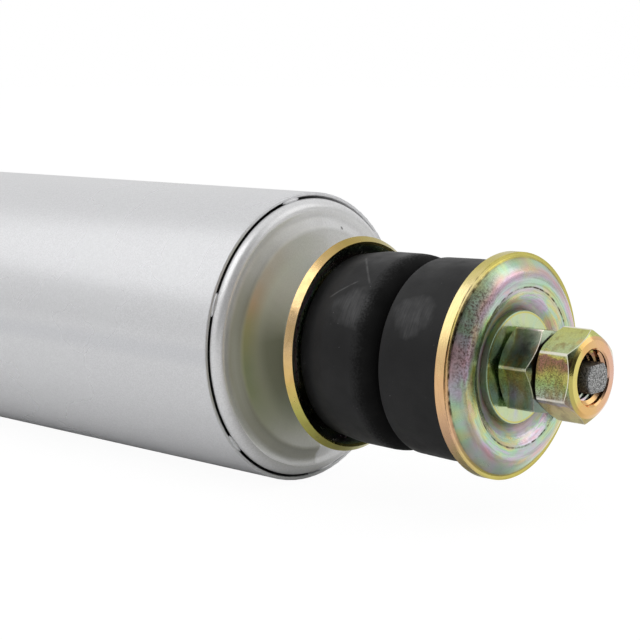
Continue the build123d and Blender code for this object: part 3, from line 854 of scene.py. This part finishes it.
def plain_metal(name, dark, light, roughness, metallic=1.0):
    """Even metal with a fine grain between two tones."""
    metal = Recipe(name, roughness, metallic)
    grain = metal.grain(700, 4, 0.6)
    metal.set("Base Color", metal.ramp(grain, [(0.3, dark), (0.7, light)]))
    metal.set("Roughness", metal.span(grain, 0.3, 0.7, roughness - 0.06, roughness + 0.08))
    metal.bump(metal.grain(2100, 3), 0.00004, 0.4)
    return metal.material


# Materials of the CAD pieces

paint = silver_paint()
steel = plain_metal("bare_steel", (0.36, 0.36, 0.37), (0.50, 0.50, 0.51), 0.38)
spring_steel = plain_metal("spring_steel", (0.44, 0.45, 0.47), (0.56, 0.57, 0.60), 0.25)
black_rubber = rubber("bushing_rubber")
lock_zinc = nut_zinc("lock_nut", LOCK_NUT_TINTS, NUT_RING_TINTS)

finishes = {
    "eye_ring": paint,
    "eye_sleeve": steel,
    "base_cup": paint,
    "cylinder_tube": paint,
    "guide_snap_ring": steel,
    "rod_guide": plain_metal("sintered", (0.20, 0.20, 0.20), (0.32, 0.31, 0.30), 0.55),
    "guide_bush": plain_metal("bearing", (0.42, 0.30, 0.16), (0.56, 0.42, 0.26), 0.35),
    "guide_seal_ring": black_rubber,
    "rod_seal": black_rubber,
    "seal_plate": steel,
    "floating_piston": plain_metal("aluminium", (0.62, 0.63, 0.64), (0.74, 0.75, 0.76), 0.3),
    "floating_ring": black_rubber,
    "piston_rod": rod_steel(),
    "rebound_bumper": black_rubber,
    "rebound_stop": steel,
    "compression_discs": spring_steel,
    "piston": plain_metal("piston_iron", (0.22, 0.22, 0.22), (0.34, 0.34, 0.34), 0.5),
    "piston_band": plain_metal("band_polymer", (0.05, 0.045, 0.04), (0.09, 0.08, 0.07), 0.5, 0.0),
    "rebound_discs": spring_steel,
    "valve_washers": steel,
    "piston_nut": steel,
    "dust_tube": silver_paint("tube_paint", groove=True),
    "dust_cap": cap_paint(),
    "cap_weld": plain_metal("weld_metal", (0.30, 0.30, 0.31), (0.46, 0.46, 0.47), 0.42),
    "lower_cup_washer": cup_zinc("lower_cup_zinc", LIP_RADIUS - LIP_WIDTH, LIP_TINTS_AND_HIGHLIGHT, []),
    "upper_cup_washer": cup_zinc("upper_cup_zinc", CUP_RADIUS - RIM_WIDTH, RIM_TINTS_AND_HIGHLIGHT, CUP_CREASES),
    "plain_washer": washer_zinc(),
    "main_nut": nut_zinc("main_nut", MAIN_NUT_TINTS_AND_HIGHLIGHT),
    "lock_nut": lock_zinc,
}
for node, material in finishes.items():
    nodes[node].data.materials.clear()
    nodes[node].data.materials.append(material)


# CAD pieces whose edges are a little rounded, with the rounding in millimetres
SOFT_EDGES = {"main_nut": 0.3, "lock_nut": 0.3, "upper_cup_washer": 0.2}
SOFT_EDGE_ANGLE = 24

for node, width in SOFT_EDGES.items():
    edge = nodes[node].modifiers.new("soft_edges", "BEVEL")
    edge.width = width * MM
    edge.segments = 3
    edge.limit_method = "ANGLE"
    edge.angle_limit = math.radians(SOFT_EDGE_ANGLE)
    edge.harden_normals = True


# Rubber bushings


def make_lower_bushing():
    """Bushing in the lower cup: a narrow foot, a slight belly, and a boss at the joint."""
    start, end, radius = reach("lower_bushing")
    foot, boss, boss_height = 15.3, 14.0, 2.2
    shoulder = end - boss_height
    corners = [
        (start + SEAT, STEM_BORE),
        (start + SEAT, foot, 0.3),
        (start + 3.1, radius - 1.0, 1.0),
        (start + 9.0, radius - 0.15, 12.0),
        (shoulder - 4.6, radius - 0.02, 4.0),
        (shoulder, radius - 0.3, 3.8),
        (shoulder, boss, 0.5),
        (end, boss),
        (end, STEM_BORE),
    ]
    wear_and_painted_light = rubber("scuffed_rubber", SCUFFS)
    piece = lathe("rubber_lower", profile(corners, 10), "rod", wear_and_painted_light)
    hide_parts("lower_bushing")


def make_upper_bushing():
    """Bushing under the upper cup, with sharp moulded edges and a faint belly."""
    start, end, radius = reach("upper_bushing")
    middle = (start + end) / 2
    corners = [
        (start, STEM_BORE),
        (start, radius - 0.25, 0.3),
        (middle, radius - 0.01, 40.0),
        (end - SEAT, radius - 0.15, 0.4),
        (end - SEAT, STEM_BORE),
    ]
    piece = lathe("rubber_upper", profile(corners, 10), "rod", black_rubber)
    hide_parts("upper_bushing")


def make_eye_bush():
    """Bush of the lower eye, crowned where it stands out of the ring."""
    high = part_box("eye_bush")[1]
    half, outer = high[1] / MM, high[2] / MM
    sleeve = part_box("eye_sleeve")[1][2] / MM + SEAT
    crown, drop = 2.0, 1.5
    corners = [
        (-half, sleeve, 0.6),
        (half, sleeve, 0.6),
        (half, outer - drop, 0.8),
        (half - crown, outer - SEAT),
        (crown - half, outer - SEAT),
        (-half, outer - drop, 0.8),
    ]
    piece = lathe("rubber_eye", profile(corners, 8), "cylinder", black_rubber, axis="Y")
    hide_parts("eye_bush")


# Welds


def make_base_weld():
    """Bead round the cylinder's base, with the ripples of the torch."""
    start, end, radius = reach("base_weld")
    middle, half = (start + end) / 2, (end - start) / 2
    ripples, ripple_height, ripple_bend = 84, 0.07, 2.4
    foot, crown, root = 0.85, 0.78, 1.6
    steps = 12

    def ripple(along, height, angle):
        bend = ripple_bend * ((along - middle) / half) ** 2
        outside = height > radius - 1.0
        lift = ripple_height * math.cos(ripples * angle + bend) if outside else 0.0
        return along, height + lift

    section = []
    for step in range(steps + 1):
        turn = math.pi * step / steps
        section.append((middle - half * math.cos(turn), radius - foot + crown * math.sin(turn)))
    section.append((middle, radius - root))
    piece = lathe("weld_base", section, "cylinder", paint, segments=9 * ripples, shape=ripple)
    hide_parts("base_weld")


def oval(first, second, count):
    """Ring of points round a centre, from its two half axes."""
    turns = [2 * math.pi * corner / count for corner in range(count)]
    return [first * math.cos(turn) + second * math.sin(turn) for turn in turns]


def sweep(name, centres, sections, body, material, closed=True):
    """Skin through rings of points, one ring at each centre."""
    points, faces = [], []
    count = len(sections[0])
    for centre, section in zip(centres, sections):
        points += [(centre + offset) * MM for offset in section]
    rings = len(centres)
    for ring in range(rings if closed else rings - 1):
        here, there = ring * count, (ring + 1) % rings * count
        for index in range(count):
            ahead = (index + 1) % count
            faces.append((here + index, there + index, there + ahead, here + ahead))
    if not closed:
        faces.append(tuple(range(count)))
        faces.append(tuple(range(rings * count - 1, (rings - 1) * count - 1, -1)))
    return finish_mesh(name, points, faces, body, material)


def make_eye_weld():
    """Fillet between the saddled neck of the base and the eye ring."""
    neck, ring_radius = 13.0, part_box("eye_ring")[1][2] / MM
    size, flatness, offset = 1.45, 0.8, 0.45
    steps, ripples, ripple_height = 480, 44, 0.09
    centres, sections = [], []
    for step in range(steps):
        angle = 2 * math.pi * step / steps
        side, up = neck * math.cos(angle), neck * math.sin(angle)
        along = math.sqrt(ring_radius**2 - up**2)
        outward = Vector((0, math.cos(angle), math.sin(angle)))
        off_ring = Vector((along, 0, up)) / ring_radius
        lean = (outward + off_ring).normalized()
        across = (outward - off_ring).normalized()
        rippled = size + ripple_height * math.cos(ripples * angle)
        centres.append(Vector((along, side, up)) + lean * offset)
        sections.append(oval(lean * (rippled * flatness), across * rippled, 14))
    sweep("weld_eye", centres, sections, "cylinder", paint)


def make_spot_welds():
    """Six short smooth beads that bridge the groove between the dust tube and the cap."""
    count, first, half_length, thickness = 6, 10.6, 2.4, 0.42
    radius = TUBE_RADIUS - 1.0
    middle_plane = Vector((TUBE_END - 0.1, 0, 0))
    steps = 16
    for place in range(count):
        middle = math.radians(first + 360 * place / count)
        centres, sections = [], []
        for step in range(steps + 1):
            share = -1 + 2 * step / steps
            angle = middle + share * half_length / radius
            outward = Vector((0, -math.sin(angle), math.cos(angle)))
            size = max(0.05, thickness * math.sqrt(max(0.0, 1 - share**2)))
            centres.append(middle_plane + outward * radius)
            sections.append(oval(Vector((size, 0, 0)), outward * size, 12))
        bead = sweep(f"spot_weld_{place + 1}", centres, sections, "rod", paint, closed=False)
        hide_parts("spot_welds")


# Thread in the lock nut


def make_nut_thread():
    """Coarse internal thread that shows round the tang in the lock nut's bore."""
    start = STEM_END - 7.3
    end = NUT_TOP - 0.9
    pitch, root, crest = 1.25, 5.08, 4.36
    root_width, crest_width = 0.92 * pitch, 0.18 * pitch
    steps = 72
    fade_steps = steps / 3
    total = int((end - start) / pitch * steps)
    centres, sections = [], []
    for step in range(total + 1):
        angle = 2 * math.pi * step / steps
        outward = Vector((0, math.cos(angle), math.sin(angle)))
        fade = min(1.0, step / fade_steps, (total - step) / fade_steps)
        tip = root - (root - crest) * max(fade, 0.05)
        section = [
            outward * root - Vector((root_width / 2, 0, 0)),
            outward * tip - Vector((crest_width / 2, 0, 0)),
            outward * tip + Vector((crest_width / 2, 0, 0)),
            outward * root + Vector((root_width / 2, 0, 0)),
        ]
        centres.append(Vector((start + pitch * step / steps, 0, 0)))
        sections.append(section)
    sweep("lock_nut_thread", centres, sections, "rod", lock_zinc, closed=False)


make_lower_bushing()
make_upper_bushing()
make_eye_bush()
make_base_weld()
make_eye_weld()
make_spot_welds()
make_nut_thread()


# Floor, lights and camera

FLOOR_SIZE = 8.0
PAPER_TONES = [(0.3, (0.70, 0.70, 0.70)), (0.7, (0.72, 0.72, 0.72))]

# How bright the floor glows, and what share of the glow the camera sees
FLOOR_GLOW = 1.06
GLOW_SEEN = 0.9

# What the shiny pieces mirror of the glow, as places in millimetres that it fades between:
# the floor behind the shock and before it, and the end of the stem. Beneath the shock the glow
# is left out, a painted shadow in what the pieces mirror.
BEHIND = (4, 26)
BEFORE = (-45, -10)
STEM_SIDE = (500, 600)


def paper_glow(paper):
    """Share of the floor's glow that a ray sees; mirrored rays see none beneath the shock, a
    painted shadow.
    """
    path = paper.add("ShaderNodeLightPath").outputs
    mirrored = paper.math("MAXIMUM", path["Is Glossy Ray"], path["Is Transmission Ray"])
    along, side = paper.axes()[:2]
    behind = paper.span_mm(side, *BEHIND, 0.0, 0.8)
    fade = paper.span_mm(along, *STEM_SIDE, 0.5, 0.12)
    before = paper.times(paper.span_mm(side, *BEFORE, 1.0, 0.0), fade)
    bright = paper.times(mirrored, paper.plus(behind, before))
    return paper.plus(paper.times(path["Is Camera Ray"], GLOW_SEEN), bright)


def make_floor():
    """Pale floor, white to the camera, that keeps a faint shadow."""
    ends = (-FLOOR_SIZE, FLOOR_SIZE)
    mesh = bpy.data.meshes.new("floor")
    corners = [(x, y, FLOOR_HEIGHT) for y in ends for x in ends]
    mesh.from_pydata(corners, [], [(0, 1, 3, 2)])
    ground = bpy.data.objects.new("floor", mesh)
    bpy.context.scene.collection.objects.link(ground)
    paper = Recipe("floor_paper", 0.9)
    paper.set("Base Color", paper.ramp(paper.grain(40, 2), PAPER_TONES))
    paper.set("Specular IOR Level", 0.0)
    glow = paper.add("ShaderNodeEmission", {"Color": (1, 1, 1, 1), "Strength": FLOOR_GLOW})
    inputs = {0: paper_glow(paper), 1: paper.shader.outputs[0], 2: glow.outputs[0]}
    mix = paper.add("ShaderNodeMixShader", inputs)
    paper.feed(paper.tree.nodes["Material Output"].inputs["Surface"], mix.outputs[0])
    mesh.materials.append(paper.material)


def make_world():
    """White to the camera; to all else a bright studio that is dark on the camera's side."""
    sky = bpy.data.worlds.new("studio")
    bpy.context.scene.world = sky
    sky.use_nodes = True
    network = Network(sky.node_tree)
    backdrop = sky.node_tree.nodes["Background"]
    network.feed(backdrop.inputs["Color"], (1, 1, 1, 1))
    network.feed(backdrop.inputs["Strength"], 1.0)
    direction = network.add("ShaderNodeTexCoord").outputs["Generated"]
    inputs = {0: direction, 1: DARK_SIDE}
    towards = network.add("ShaderNodeVectorMath", inputs, operation="DOT_PRODUCT")
    level = network.span(towards.outputs["Value"], *DARK_CONE, 1.0, DARK_LEVEL)
    height = network.add("ShaderNodeSeparateXYZ", {0: direction}).outputs["Z"]
    strength = network.times(level, network.span(height, *HORIZON, HORIZON_LEVEL, 1.0))
    studio = network.add("ShaderNodeBackground", {"Strength": strength})
    seen = network.add("ShaderNodeLightPath").outputs["Is Camera Ray"]
    inputs = {0: seen, 1: studio.outputs[0], 2: backdrop.outputs[0]}
    mix = network.add("ShaderNodeMixShader", inputs)
    network.feed(sky.node_tree.nodes["World Output"].inputs["Surface"], mix.outputs[0])


def softbox(name, place, target, size, power):
    """Large area light aimed at a point."""
    light = bpy.data.lights.new(name, "AREA")
    light.shape = "RECTANGLE"
    light.size = size
    light.size_y = size
    light.energy = power
    lamp = bpy.data.objects.new(name, light)
    bpy.context.scene.collection.objects.link(lamp)
    lamp.location = place
    aim = Vector(target) - Vector(place)
    lamp.rotation_euler = aim.to_track_quat("-Z", "Y").to_euler()


def make_camera():
    """Camera at the photograph's viewing angle."""
    data = bpy.data.cameras.new("photo_camera")
    data.lens = CAMERA_LENS
    data.sensor_width = CAMERA_SENSOR
    data.clip_start = 0.01
    data.clip_end = 50
    eye = bpy.data.objects.new("photo_camera", data)
    bpy.context.scene.collection.objects.link(eye)
    eye.location = CAMERA_PLACE
    eye.rotation_mode = "QUATERNION"
    eye.rotation_quaternion = CAMERA_AIM.to_track_quat("-Z", "Y")
    bpy.context.scene.camera = eye


make_floor()
make_world()
for name, setting in SOFTBOXES.items():
    softbox(name, *setting)
make_camera()
bpy.context.scene.view_settings.view_transform = "Standard"
